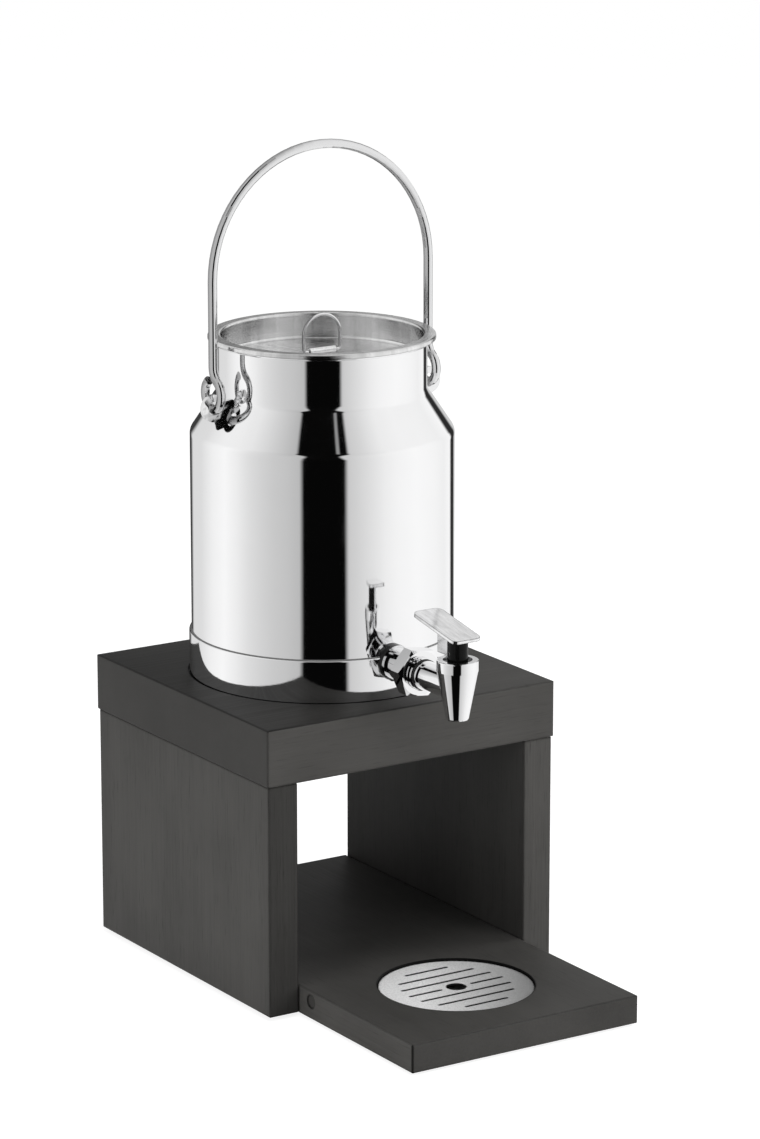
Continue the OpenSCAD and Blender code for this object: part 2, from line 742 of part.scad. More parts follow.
module back_nut() {
    color("#c6c8ca")
        hex_nut(back_nut_af, tail_d / 2 + thread_gap, -inner_gasket_in - back_nut_len, -inner_gasket_in, 0);
}

// Tail through the wall, flange on the gasket and threaded front end, bored through for the milk
module tap_shank() {
    color("#c6c8ca") at_tap() difference() {
        union() {
            translate([0, 0, -tail_in]) cylinder(d = tail_d, h = tail_in + gasket_out + cut);
            translate([0, 0, gasket_out]) cylinder(d = flange_d, h = flange_t);
            translate([0, 0, flange_out - cut]) cylinder(d = shank_d, h = shank_out - flange_out + cut);
        }
        translate([0, 0, -tail_in - cut]) cylinder(d = bore_d, h = tail_in + shank_out + 2 * cut);
    }
}

module union_seal() {
    color("#e8e4da") tap_tube(shank_d - 0.6, bore_d / 2, shank_out, shank_out + seal_t);
}

// Nut on the shank's thread; its front web pulls the tap body's tail flange back
module union_nut() {
    color("#cfd1d3") difference() {
        hex_nut(nut_af, tube_d / 2 + tail_gap, nut_out - nut_len, nut_out, nut_turn);
        at_tap() translate([0, 0, nut_out - nut_len - cut])
            cylinder(r = shank_d / 2 + thread_gap, h = nut_len - nut_web + cut);
    }
}

module tap_collar() {
    edge = 0.6;
    color("#cfd1d3") at_tap() translate([0, 0, nut_out]) rotate_extrude() polygon([[tube_d / 2, 0],
        [collar_d / 2 - edge, 0], [collar_d / 2, edge], [collar_d / 2, collar_len - edge],
        [collar_d / 2 - edge, collar_len], [tube_d / 2, collar_len]]);
}

// Round seal in a groove of the tube, against the collar
module o_ring() {
    at_tap() translate([0, 0, collar_out + o_ring_d / 2]) rotate_extrude()
        translate([tube_d / 2 - o_ring_in, 0]) circle(d = o_ring_d);
}

module tap_o_ring() {
    color("#1c1c1c") o_ring();
}

// Valve chamber: thread for the bonnet, room round the stem, flat seat and outlet
module chamber() {
    below_bore = 0.6;
    rotate_extrude() polygon([[0, spout_top + cut], [bonnet_d / 2, spout_top + cut], [bonnet_d / 2, bonnet_low],
        [chamber_d / 2, bonnet_low], [chamber_d / 2, -bore_d / 2 - below_bore], [seat_d / 2, -seat_drop],
        [outlet_d / 2, -seat_drop], [outlet_d / 2, 1 - spout_drop], [outlet_d / 2 + 1, -spout_drop],
        [outlet_d / 2 + 1, -spout_drop - cut], [0, -spout_drop - cut]]);
}

// Tail flange, tube and tapered spout, with the valve chamber inside
module tap_body() {
    rim = 0.8;
    color("#cfd1d3") difference() {
        union() {
            at_tap() translate([0, 0, shank_out + seal_t]) cylinder(d = shank_d - 0.6, h = tail_flange_t);
            at_tap() translate([0, 0, shank_out + seal_t])
                cylinder(d = tube_d, h = spout_reach - shank_out - seal_t);
            at_tap() translate([0, 0, collar_out + o_ring_d]) cylinder(d = o_shoulder_d, h = o_shoulder_len);
            at_spout() rotate_extrude() polygon(concat([[0, -spout_drop], [mouth_d / 2 - rim / 2, -spout_drop],
                [mouth_d / 2, rim - spout_drop], [spout_d / 2, cone_top]],
                arc([spout_d / 2 - rim, spout_top - rim], rim, 0, 90, 4), [[0, spout_top]]));
        }
        at_spout() chamber();
        at_tap() translate([0, 0, shank_out]) cylinder(d = bore_d, h = spout_reach - shank_out);
        o_ring();
    }
}

// Screwed plug in the chamber's top, with the stem's bore and a groove for its seal
module bonnet() {
    stem_r = stem_d / 2 + run_gap;
    groove_z = bonnet_low + bonnet_len / 2;
    color("#1c1c1c") at_spout() difference() {
        translate([0, 0, bonnet_low]) cylinder(r = bonnet_d / 2 - thread_gap, h = bonnet_len);
        translate([0, 0, bonnet_low - cut]) cylinder(r = stem_r, h = bonnet_len + 2 * cut);
        translate([0, 0, groove_z - stem_seal_d / 2]) cylinder(r = stem_r + stem_seal_d, h = stem_seal_d);
    }
}

module stem_seal() {
    color("#1c1c1c") at_spout() translate([0, 0, bonnet_low + bonnet_len / 2]) rotate_extrude()
        translate([stem_d / 2 + run_gap + stem_seal_d / 2, 0]) circle(d = stem_seal_d);
}

// Stem with a collar for the spring and a cross hole for the lever's pin
module valve_stem() {
    low = collar_z - seal_in;
    color("#c6c8ca") at_spout() difference() {
        union() {
            translate([0, 0, low]) cylinder(d = stem_d, h = stem_z - low);
            translate([0, 0, collar_z]) cylinder(d = stem_collar_d, h = stem_collar_t);
        }
        translate([0, 0, pin_z]) rotate([0, 90, 0]) cylinder(r = pin_d / 2 + run_gap, h = stem_d + 2 * cut, center = true);
    }
}

// Silicone plug on the stem's lower end, pressed on the seat
module seat_seal() {
    edge = 0.6;
    color("#e8e4da") at_spout() difference() {
        rotate_extrude() polygon([[0, -seat_drop], [seal_d / 2 - edge, -seat_drop], [seal_d / 2, edge - seat_drop],
            [seal_d / 2, collar_z - edge], [seal_d / 2 - edge, collar_z], [0, collar_z]]);
        translate([0, 0, collar_z - seal_in]) cylinder(d = stem_d, h = seal_in + cut);
    }
}

// Coil from the stem's collar to the bonnet: one wire along a helix
module valve_spring() {
    steps = 16;
    rings = round(spring_turns * steps);
    low = spring_low + spring_wire / 2;
    rise = bonnet_low - spring_wire / 2 - low;
    slope = atan2(rise, PI * spring_d * spring_turns);
    stations = [for (i = [0:rings]) let (a = 360 * i / steps)
        [[spring_d / 2 * cos(a), spring_d / 2 * sin(a), low + rise * i / rings],
            [-sin(a) * cos(slope), cos(a) * cos(slope), sin(slope)], [cos(a), sin(a), 0]]];
    color("#9a9c9f") at_spout() wire(stations, spring_wire, 8);
}

// Lever

// Children in the paddle's frame: origin at its back edge's middle, on top, with y along the paddle
module at_paddle() {
    translate([0, paddle_back, paddle_z]) rotate([paddle_tilt, 0, 0]) children();
}

// Everything under the plane that lies at a depth under the paddle's top
module under_paddle(depth) {
    at_paddle() translate([-paddle_w, -2 * paddle_len, -2 * paddle_len - depth])
        cube([2 * paddle_w, 4 * paddle_len, 2 * paddle_len]);
}

// Upright plate behind the hub, with its front end in the hub's slot
module web() {
    front = hub_d / 2 - web_in;
    translate([-web_t / 2, front, spout_top + rock_gap]) cube([web_t, web_back - front, paddle_z]);
}

// Paddle on a web; the web rocks on the spout's rim and so lifts the pin and the stem
module tap_lever() {
    half = paddle_w / 2;
    outline = concat(
        arc([half - paddle_r_back, -paddle_r_back], paddle_r_back, 0, 90, 8),
        arc([paddle_r_back - half, -paddle_r_back], paddle_r_back, 90, 180, 8),
        arc([paddle_r_front - half, paddle_r_front - paddle_len], paddle_r_front, 180, 270, 5),
        arc([half - paddle_r_front, paddle_r_front - paddle_len], paddle_r_front, 270, 360, 5));
    color("#d6d8da") at_spout() union() {
        at_paddle() translate([0, 0, -paddle_t]) linear_extrude(paddle_t) polygon(outline);
        intersection() {
            web();
            under_paddle(paddle_t / 2);
        }
    }
}

// Moulded hub under the paddle, with a slot that the stem's end swings in
module lever_hub() {
    color("#1c1c1c") at_spout() difference() {
        intersection() {
            translate([0, 0, hub_z]) cylinder(d = hub_d, h = paddle_z);
            under_paddle(paddle_t);
        }
        translate([-stem_d / 2 - slot_side, -stem_d / 2 - slot_swing, hub_z - cut])
            cube([stem_d + 2 * slot_side, stem_d + 2 * slot_swing, stem_z - hub_z + 2 * cut]);
        translate([0, 0, pin_z]) rotate([0, 90, 0]) cylinder(d = pin_d, h = 2 * hub_d, center = true);
        web();
    }
}

module lever_pin() {
    color("#c6c8ca") at_spout() translate([0, 0, pin_z]) rotate([0, 90, 0])
        cylinder(d = pin_d, h = hub_d - 0.8, center = true);
}

top_board();
side_board(-1);  // left_side_board
side_board(1);  // right_side_board
board_dowels();
stand_feet();
tray_board();
tray_feet();
tray_plugs();
drip_bowl();
drip_grille();
can_body();
can_bottom();
can_neck();
foot_ring();
ear(-1);  // left_ear
ear(1);  // right_ear
bail_handle();
lid();
lid_bracket();
lid_ring();
outer_gasket();
inner_gasket();
back_nut();
tap_shank();
union_seal();
union_nut();
tap_collar();
tap_o_ring();
tap_body();
bonnet();
stem_seal();
valve_stem();
seat_seal();
valve_spring();
tap_lever();
lever_hub();
lever_pin();
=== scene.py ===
import math

import bpy
from mathutils import Matrix, Vector


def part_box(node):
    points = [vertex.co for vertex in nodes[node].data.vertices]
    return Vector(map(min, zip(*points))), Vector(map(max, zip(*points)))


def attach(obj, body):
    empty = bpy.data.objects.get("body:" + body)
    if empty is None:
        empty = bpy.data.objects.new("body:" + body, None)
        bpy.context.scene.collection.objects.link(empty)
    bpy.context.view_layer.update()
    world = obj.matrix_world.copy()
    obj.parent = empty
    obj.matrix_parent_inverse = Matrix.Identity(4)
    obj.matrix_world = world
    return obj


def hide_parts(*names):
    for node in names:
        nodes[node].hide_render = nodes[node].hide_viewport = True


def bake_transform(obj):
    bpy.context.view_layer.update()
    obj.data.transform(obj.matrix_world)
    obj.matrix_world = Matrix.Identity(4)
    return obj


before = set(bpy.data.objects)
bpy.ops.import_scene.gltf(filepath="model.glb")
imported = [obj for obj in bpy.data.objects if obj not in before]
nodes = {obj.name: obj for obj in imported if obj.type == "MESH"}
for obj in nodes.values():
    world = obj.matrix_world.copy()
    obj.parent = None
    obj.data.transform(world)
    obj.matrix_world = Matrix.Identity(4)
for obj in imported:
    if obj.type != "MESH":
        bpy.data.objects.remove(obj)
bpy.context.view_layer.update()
bpy.context.scene.view_settings.view_transform = "Standard"

# Places in metres: the axes of the can and the spout, and the top front edge of the stand
CAN_Y = 0.0655
SPOUT_Y = -0.0951
FRONT_Y = -0.0445
TOP_Z = 0.1945


def link(thing):
    bpy.context.scene.collection.objects.link(thing)
    return thing


# Camera

CAMERA_RIGHT = Vector((0.84170, -0.53994, -0.0001))
CAMERA_UP = Vector((0.13330, 0.20762, 0.96908))
CAMERA_BACK = Vector((-0.52323, -0.81569, 0.24673))
CAMERA_PLACE = Vector((-1.5741, FRONT_Y - 2.4138, TOP_Z + 0.8239))
LENS_MM = 147.37
SENSOR_MM = 36
CLIP_NEAR, CLIP_FAR = 0.05, 60


def make_camera():
    data = bpy.data.cameras.new("camera")
    data.sensor_fit = "VERTICAL"
    data.sensor_height = SENSOR_MM
    data.lens = LENS_MM
    data.clip_start = CLIP_NEAR
    data.clip_end = CLIP_FAR
    camera = link(bpy.data.objects.new("camera", data))
    turn = Matrix((CAMERA_RIGHT, CAMERA_UP, CAMERA_BACK)).transposed().to_4x4()
    camera.matrix_world = Matrix.Translation(CAMERA_PLACE) @ turn
    bpy.context.scene.camera = camera


# Node graphs

class Graph:
    """A node tree with short ways to add nodes and join them."""

    def __init__(self, tree):
        self.tree = tree
        tree.nodes.clear()

    def fill(self, node, inputs):
        """Link sockets to a node's inputs, and set its other inputs to plain values."""
        for key, value in inputs.items():
            if isinstance(value, bpy.types.NodeSocket):
                self.tree.links.new(value, node.inputs[key])
            else:
                node.inputs[key].default_value = value

    def add(self, kind, inputs=None, **settings):
        node = self.tree.nodes.new(kind)
        for key, value in settings.items():
            setattr(node, key, value)
        self.fill(node, inputs or {})
        return node

    def math(self, operation, *values):
        return self.add("ShaderNodeMath", dict(enumerate(values)), operation=operation).outputs[0]

    def times(self, a, b):
        return self.math("MULTIPLY", a, b)

    def vector(self, operation, *values):
        node = self.add("ShaderNodeVectorMath", dict(enumerate(values)), operation=operation)
        return node.outputs["Value" if operation in ("DOT_PRODUCT", "LENGTH") else "Vector"]

    def stretch(self, vector, scale):
        return self.vector("MULTIPLY", vector, scale)

    def parts(self, vector):
        return self.add("ShaderNodeSeparateXYZ", {"Vector": vector}).outputs

    def join(self, x, y, z):
        return self.add("ShaderNodeCombineXYZ", {0: x, 1: y, 2: z}).outputs[0]

    def even(self, tone):
        """Grey of one tone."""
        return self.join(tone, tone, tone)

    def noise(self, vector, scale, detail, rough):
        inputs = {"Vector": vector, "Scale": scale, "Detail": detail, "Roughness": rough}
        return self.add("ShaderNodeTexNoise", inputs).outputs["Fac"]

    def remap(self, value, low, high, to_low, to_high, curve="LINEAR"):
        inputs = {"Value": value, "From Min": low, "From Max": high, "To Min": to_low, "To Max": to_high}
        return self.add("ShaderNodeMapRange", inputs, interpolation_type=curve).outputs[0]

    def smooth(self, value, low, high, to_low, to_high):
        return self.remap(value, low, high, to_low, to_high, "SMOOTHSTEP")

    def vary(self, noise, spread, to_low, to_high):
        """Map noise, taken within spread of its middle, to a range."""
        return self.remap(noise, 0.5 - spread, 0.5 + spread, to_low, to_high)

    def ramp(self, value, stops):
        node = self.add("ShaderNodeValToRGB", {"Fac": value})
        band = node.color_ramp
        while len(band.elements) < len(stops):
            band.elements.new(0.5)
        for element, (place, colour) in zip(band.elements, stops):
            element.position = place
            element.color = colour
        return node.outputs["Color"]

    def mix(self, factor, a, b, blend="MIX"):
        inputs = {"Factor": factor, 6: a, 7: b}
        return self.add("ShaderNodeMix", inputs, data_type="RGBA", blend_type=blend).outputs[2]

    def bump(self, height, strength, distance):
        inputs = {"Strength": strength, "Distance": distance, "Height": height}
        return self.add("ShaderNodeBump", inputs).outputs[0]

    def by_ray(self, kind, others, these):
        """One shader for the rays of a kind, and another for the others."""
        rays = self.add("ShaderNodeLightPath").outputs[kind]
        return self.add("ShaderNodeMixShader", {0: rays, 1: others, 2: these}).outputs[0]

    def glow(self, kind, colour, strength=1.0):
        return self.add(kind, {"Color": colour, "Strength": strength}).outputs[0]


def linear(level):
    """Linear light of a screen level from 0 to 255."""
    v = level / 255
    return v / 12.92 if v <= 0.04045 else ((v + 0.055) / 1.055) ** 2.4


# Studio: what the polished metal sees round it, by direction from the can's axis. Angles are in degrees
# and run from the middle of a dark gap between the white screens, which faces the left front. The height
# of a direction is its Z part, from 0 at the horizon to 1 overhead.

GAP_WAY = Vector((-0.5399, -0.8417, 0))
GAP_SIDE = Vector((0.8417, -0.5399, 0))
GAP_FADE = 3.5
GAP_LEVEL = 6
SLIT_TURN = 18.5
SLIT_EDGES = (1.2, 2.6)
SLIT_LEVEL = 150
CEILING = 0.62
SOFT_LIGHT = 0.34
FLOOR_GLOW = 0.86
FLOOR_GREY, FLOOR_GREY_SEEN = 0.86, 0.4
FLOOR_R = 12
SHINE = 0.88
# Rows of an angle and a screen level, for directions near the horizon and for steep ones
STUDIO = (
    (-180, 140), (-171, 62), (-157, 55), (-149, 215), (-127, 219), (-107, 240), (-91, 248), (-77, 237),
    (-64, 221), (-52, 210), (-41, 201), (-30, 195), (-16, 184), (22, 200),
    (33, 213), (44, 225), (55, 237), (67, 244), (88, 249), (111, 245), (129, 238), (144, 246),
    (148, 40), (158, 45), (163, 200), (180, 190),
)
ABOVE = (
    (-180, 228), (-149, 222), (-107, 236), (-77, 230), (-52, 205), (-29, 180), (30, 200), (44, 212), (67, 236),
    (88, 240), (129, 234), (163, 236), (180, 228),
)


def plain(tone):
    return tone, tone, tone, 1


def mirrored(level):
    """Light that polished steel shows at a screen level."""
    return plain(linear(level) / SHINE)


def bearing(g, vector):
    """Angle of a direction from the middle of the gap."""
    side = g.vector("DOT_PRODUCT", vector, GAP_SIDE)
    ahead = g.vector("DOT_PRODUCT", vector, GAP_WAY)
    return g.times(g.math("ARCTAN2", side, ahead), 180 / math.pi)


def studio(g, turn, bands):
    fraction = g.math("MULTIPLY_ADD", turn, 1 / 360, 0.5)
    return g.ramp(fraction, [(angle / 360 + 0.5, mirrored(level)) for angle, level in bands])


def gap(g, turn, screens, centre, half):
    """Screens with the dark gap cut out, whose half width is a socket."""
    off = g.math("ABSOLUTE", g.math("SUBTRACT", turn, centre))
    lit = g.remap(g.math("SUBTRACT", off, half), 0.0, GAP_FADE, 0.0, 1.0)
    return g.mix(lit, mirrored(GAP_LEVEL), screens)


def make_world():
    world = bpy.data.worlds.new("studio")
    bpy.context.scene.world = world
    world.use_nodes = True
    g = Graph(world.node_tree)
    way = g.add("ShaderNodeTexCoord").outputs["Generated"]
    height = g.parts(way)["Z"]
    turn = bearing(g, way)
    steep = g.remap(height, 0.3, 0.7, 0.0, 1.0)
    screens = g.mix(steep, studio(g, turn, STUDIO), studio(g, turn, ABOVE))
    # The gap is at its widest in the directions that the can's shoulder shows
    narrow = g.remap(height, 0.0, 0.35, 16.0, 13.5)
    wide = g.smooth(height, 0.45, 0.74, 0.0, 13.0)
    screens = gap(g, turn, screens, 1.0, g.math("ADD", narrow, wide))
    # A bright slit in the gap, and a plain ceiling
    off_slit = g.math("ABSOLUTE", g.math("SUBTRACT", turn, SLIT_TURN))
    in_slit = g.times(g.remap(off_slit, *SLIT_EDGES, 1.0, 0.0), g.smooth(height, 0.72, 0.79, 0.0, 1.0))
    screens = g.mix(in_slit, screens, plain(linear(SLIT_LEVEL)))
    overhead = g.remap(height, 0.86, 0.97, 0.0, 1.0)
    seen = g.mix(overhead, screens, plain(CEILING))
    soft = g.glow("ShaderNodeBackground", plain(1), SOFT_LIGHT)
    shiny = g.glow("ShaderNodeBackground", seen)
    white = g.glow("ShaderNodeBackground", plain(1))
    light = g.by_ray("Is Camera Ray", g.by_ray("Is Glossy Ray", soft, shiny), white)
    g.add("ShaderNodeOutputWorld", {"Surface": light})


def make_floor():
    mesh = bpy.data.meshes.new("floor")
    r = FLOOR_R
    mesh.from_pydata([(-r, -r, 0), (r, -r, 0), (r, r, 0), (-r, r, 0)], [], [(0, 1, 2, 3)])
    floor = link(bpy.data.objects.new("floor", mesh))
    material = bpy.data.materials.new("floor")
    material.use_nodes = True
    g = Graph(material.node_tree)
    place = g.add("ShaderNodeNewGeometry").outputs["Position"]
    from_can = g.vector("SUBTRACT", place, (0, CAN_Y, 0))
    matt = g.add("ShaderNodeBsdfDiffuse", {"Color": plain(FLOOR_GREY)}).outputs[0]
    pale = g.add("ShaderNodeBsdfDiffuse", {"Color": plain(FLOOR_GREY_SEEN)}).outputs[0]
    lift = g.glow("ShaderNodeEmission", plain(1), FLOOR_GLOW)
    lit = g.add("ShaderNodeAddShader", {0: pale, 1: lift}).outputs[0]
    turn = bearing(g, from_can)
    half = g.smooth(g.vector("LENGTH", from_can), 1.8, 6.0, 17.0, 16.0)
    shiny = g.glow("ShaderNodeEmission", gap(g, turn, studio(g, turn, STUDIO), 2.0, half))
    light = g.by_ray("Is Glossy Ray", g.by_ray("Is Camera Ray", matt, lit), shiny)
    g.add("ShaderNodeOutputMaterial", {"Surface": light})
    mesh.materials.append(material)


# Rows of name, place, aim, width and watts
LAMPS = (
    ("key", (1.7, -0.2, 1.2), (0, 0, 0.2), 0.9, 11),
    ("left", (-2.0, -0.6, 0.7), (0, 0, 0.15), 1.0, 8),
    ("front", (0.9, -2.0, 0.6), (0, 0, 0.1), 1.2, 13),
    ("top", (0, -0.25, 1.9), (0, -0.1, 0), 0.9, 12),
)


def make_lamp(name, place, aim, size, watts):
    data = bpy.data.lights.new(name, "AREA")
    data.shape = "DISK"
    data.size = size
    data.energy = watts
    lamp = link(bpy.data.objects.new(name, data))
    lamp.location = place
    lamp.rotation_mode = "QUATERNION"
    lamp.rotation_quaternion = (Vector(aim) - Vector(place)).to_track_quat("-Z", "Y")
    lamp.visible_glossy = False
    lamp.visible_camera = False


# What the materials share

# A face looks along an axis as the normal's part on it goes from FACE_FROM to FACE_FULL
FACE_FROM, FACE_FULL = 0.4, 0.6
EDGE_SPAN = 0.14
BEVEL_SAMPLES = 6


def surface(name):
    material = bpy.data.materials.new(name)
    material.use_nodes = True
    g = Graph(material.node_tree)
    shader = g.add("ShaderNodeBsdfPrincipled")
    g.add("ShaderNodeOutputMaterial", {"Surface": shader.outputs[0]})
    return material, g, shader


def in_object(g, kind="Object"):
    """Place on the piece, or its normal, which stay with the piece as it moves."""
    return g.add("ShaderNodeTexCoord").outputs[kind]


def face_normal(g):
    return g.add("ShaderNodeNewGeometry").outputs["Normal"]


def from_axis(g, axis_y):
    """Place from a vertical axis, and the distance from it."""
    place = g.vector("SUBTRACT", in_object(g), (0, axis_y, 0))
    return place, g.vector("LENGTH", g.stretch(place, (1, 1, 0)))


def one_way(along, run, cross):
    """Scales that draw a pattern out along one axis, 0, 1 or 2."""
    return [run if i == along else cross for i in range(3)]


def edge_tone(g, radius, least, start=0.99):
    """One on a flat face, falling to least at a sharp edge; the nearer start is to one, the wider the line."""
    rounded = g.add("ShaderNodeBevel", {"Radius": radius}, samples=BEVEL_SAMPLES).outputs[0]
    return g.remap(g.vector("DOT_PRODUCT", face_normal(g), rounded), start - EDGE_SPAN, start, least, 1.0)


def faces_along(g, part):
    """One on faces that look along an axis, given their normal's part on it."""
    return g.remap(part, FACE_FROM, FACE_FULL, 0.0, 1.0)


def faces_against(g, part, there, elsewhere):
    """A value for the faces that look against an axis, and one for the others."""
    return g.remap(part, -FACE_FULL, -FACE_FROM, there, elsewhere)


# Painted shade and light on the wood: each gives a factor of its tone, from the parts of the face's normal and
# place

def painted_inner_shade(g, facing, spots):
    """Painted shade: deeper on faces that look inward, and on the left board's front edge."""
    inward = g.times(facing["X"], g.math("SIGN", spots["X"]))
    left = g.math("LESS_THAN", spots["X"], 0.0)
    front = g.times(faces_against(g, facing["Y"], 0.42, 0.0), left)
    return g.times(faces_against(g, inward, 0.6, 1.0), g.math("SUBTRACT", 1.0, front))


def painted_shade_drift(g, facing, spots, axis, low, high, start, end, left_share):
    """Painted shade: from start to end along an axis, on upward faces and for a share on those that look left.
    """
    deep = g.remap(spots[axis], low, high, start, end)
    leftward = faces_against(g, facing["X"], left_share, 0.0)
    faces = g.math("MAXIMUM", faces_along(g, facing["Z"]), leftward)
    return g.math("MULTIPLY_ADD", faces, g.math("SUBTRACT", deep, 1.0), 1.0)


def under_lamp(g, facing, spots, tone, shelter=None):
    """Darker upward faces, to even out the lamp overhead; shelter, from where to where it fades along Y."""
    open_tone = tone if shelter is None else g.remap(spots["Y"], *shelter, tone, 1.0)
    return g.remap(faces_along(g, facing["Z"]), 0.0, 1.0, 1.0, open_tone)


def painted_front_light(g, facing, spots, half_width, front_y):
    """Painted light and shade: deeper on the front faces and paler on the left ones; and a dark line at each
    upright front edge.
    """
    front = faces_against(g, facing["Y"], 0.76, 1.0)
    left = faces_against(g, facing["X"], 1.3, 1.0)
    inset = g.math("MAXIMUM", g.math("SUBTRACT", half_width, g.math("ABSOLUTE", spots["X"])),
                   g.math("SUBTRACT", spots["Y"], front_y))
    return g.times(g.times(front, left), g.remap(inset, 0.0008, 0.0016, 0.2, 1.0))


def painted_recess_shade(g, facing, spots, axis_y, radius):
    """Painted shade: black walls and a darker floor in a round hollow."""
    reach = from_axis(g, axis_y)[1]
    flat = faces_along(g, g.math("ABSOLUTE", facing["Z"]))
    outside = g.remap(reach, radius, radius + 0.0002, 0.0, 1.0)
    walls = g.remap(g.math("MAXIMUM", flat, outside), 0.0, 1.0, 0.08, 1.0)
    return g.times(walls, g.remap(outside, 0.0, 1.0, 0.5, 1.0))


# Materials

# Waves per metre of the wood's patterns, along the grain and across it
FIGURE, FIBRE, PORES = (2.2, 26), (9, 620), (55, 1500)


def wood(name, level, along, seed, grain=1.0, painted_layers=()):
    """Dark stained wood with its grain along one axis; painted_layers, rows of a painted shade or light and
    its values.
    """
    material, g, shader = surface(name)
    spot = in_object(g)
    place = g.vector("ADD", spot, (seed, seed * 1.7, seed * 0.6))
    figure = g.noise(g.stretch(place, one_way(along, *FIGURE)), 1, 4, 0.6)
    fibre = g.noise(g.stretch(place, one_way(along, *FIBRE)), 1, 5, 0.65)
    pores = g.noise(g.stretch(place, one_way(along, *PORES)), 1, 2, 0.5)
    cloud = g.noise(place, 14, 3, 0.5)
    tone = g.math("ADD", g.vary(figure, 0.2, -0.14 * grain, 0.14 * grain),
                  g.vary(fibre, 0.2, -0.11 * grain, 0.13 * grain))
    tone = g.math("ADD", tone, g.vary(cloud, 0.2, -0.10, 0.10))
    pore = g.remap(pores, 0.60, 0.72, 0.0, 0.34 * grain)
    tone = g.math("ADD", g.math("SUBTRACT", tone, pore), 1.0)
    tone = g.times(tone, edge_tone(g, 0.0020, 0.30))
    facing, spots = g.parts(face_normal(g)), g.parts(spot)
    # Painted shade and light, one row after another
    for painted_layer, *values in painted_layers:
        tone = g.times(tone, painted_layer(g, facing, spots, *values))
    base = linear(level)
    warm = (base * 1.03, base, base * 0.95, 1)
    relief = g.math("SUBTRACT", g.times(fibre, 0.5), pore)
    g.fill(shader, {
        "Base Color": g.mix(1.0, warm, g.even(tone), "MULTIPLY"),
        "Roughness": g.vary(fibre, 0.3, 0.46, 0.64),
        "Specular IOR Level": 0.14,
        "Normal": g.bump(relief, 0.25, 0.0004),
    })
    return material


def polished(name, level, rough=0.04, wave=0.0, scale=11, painted_edges=False, sides=None):
    """Polished steel: faint polishing lines, smudges and a slow waviness; painted_edges, streaks in its tone
    and painted dark lines at its edges, a painted reflection; sides, the painted darker tone of a bent wire's
    flanks, a painted reflection."""
    material, g, shader = surface(name)
    place = in_object(g)
    smudge = g.noise(place, 38, 4, 0.6)
    lines = g.noise(g.stretch(place, one_way(2, 2600, 40)), 1, 3, 0.6)
    tone = g.vary(smudge, 0.2, level * 0.985, level)
    if painted_edges:
        # Painted reflection: dark lines at the edges; and streaks in the tone
        streaks = g.noise(g.stretch(place, one_way(1, 22, 420)), 1, 3, 0.6)
        tone = g.times(tone, g.vary(streaks, 0.2, 0.80, 1.06))
        tone = g.times(tone, edge_tone(g, 0.0012, 0.2))
    if sides is not None:
        # Painted reflection: darker flanks, where a polished wire shows dark round its outline
        flank = g.math("ABSOLUTE", g.parts(in_object(g, "Normal"))["Y"])
        tone = g.times(tone, g.remap(flank, 0.25, 0.6, sides, 1.0))
    slow = g.noise(place, scale, 1, 0.4)
    height = g.math("ADD", g.times(lines, 0.02), g.times(slow, wave))
    g.fill(shader, {
        "Metallic": 1,
        "Base Color": g.join(tone, tone, g.times(tone, 1.005)),
        "Roughness": g.remap(smudge, 0.35, 0.75, rough, rough + 0.035),
        "Normal": g.bump(height, 0.4, 0.0005),
    })
    return material


def turned(name, level, rough, axis_y, painted_streak=0.0):
    """Steel brushed in circles about a vertical axis; painted_streak, how far its tone varies round the axis
    in painted highlight spokes, with painted dark lines at its edges.
    """
    material, g, shader = surface(name)
    place, reach = from_axis(g, axis_y)
    x, y, height = g.parts(place)
    round_way = g.vector("NORMALIZE", g.join(g.times(y, -1), x, 0))
    rings = g.join(g.times(reach, 2600), g.times(height, 2600), 0)
    along = g.join(0, 0, g.noise(place, 30, 1, 0.4))
    grooves = g.noise(g.vector("ADD", rings, along), 1, 4, 0.7)
    cloud = g.noise(place, 45, 3, 0.6)
    tone = g.times(g.vary(grooves, 0.25, 0.86, 1.06), g.vary(cloud, 0.2, 0.96, 1.02))
    tone = g.times(tone, level)
    if painted_streak:
        # Painted highlight spokes round the axis, and dark lines at the edges as painted reflection
        spokes = g.noise(g.stretch(round_way, (1, 1, 0)), 6, 4, 0.7)
        tone = g.times(tone, g.vary(spokes, 0.15, 1.0 - painted_streak, 1.0 + 0.4 * painted_streak))
        tone = g.times(tone, edge_tone(g, 0.0009, 0.3))
    g.fill(shader, {
        "Metallic": 1,
        "Base Color": g.even(tone),
        "Roughness": g.vary(grooves, 0.25, rough - 0.04, rough + 0.06),
        "Anisotropic": 0.9,
        "Anisotropic Rotation": 0.25,
        "Tangent": round_way,
        "Normal": g.bump(grooves, 0.35, 0.0002),
    })
    return material


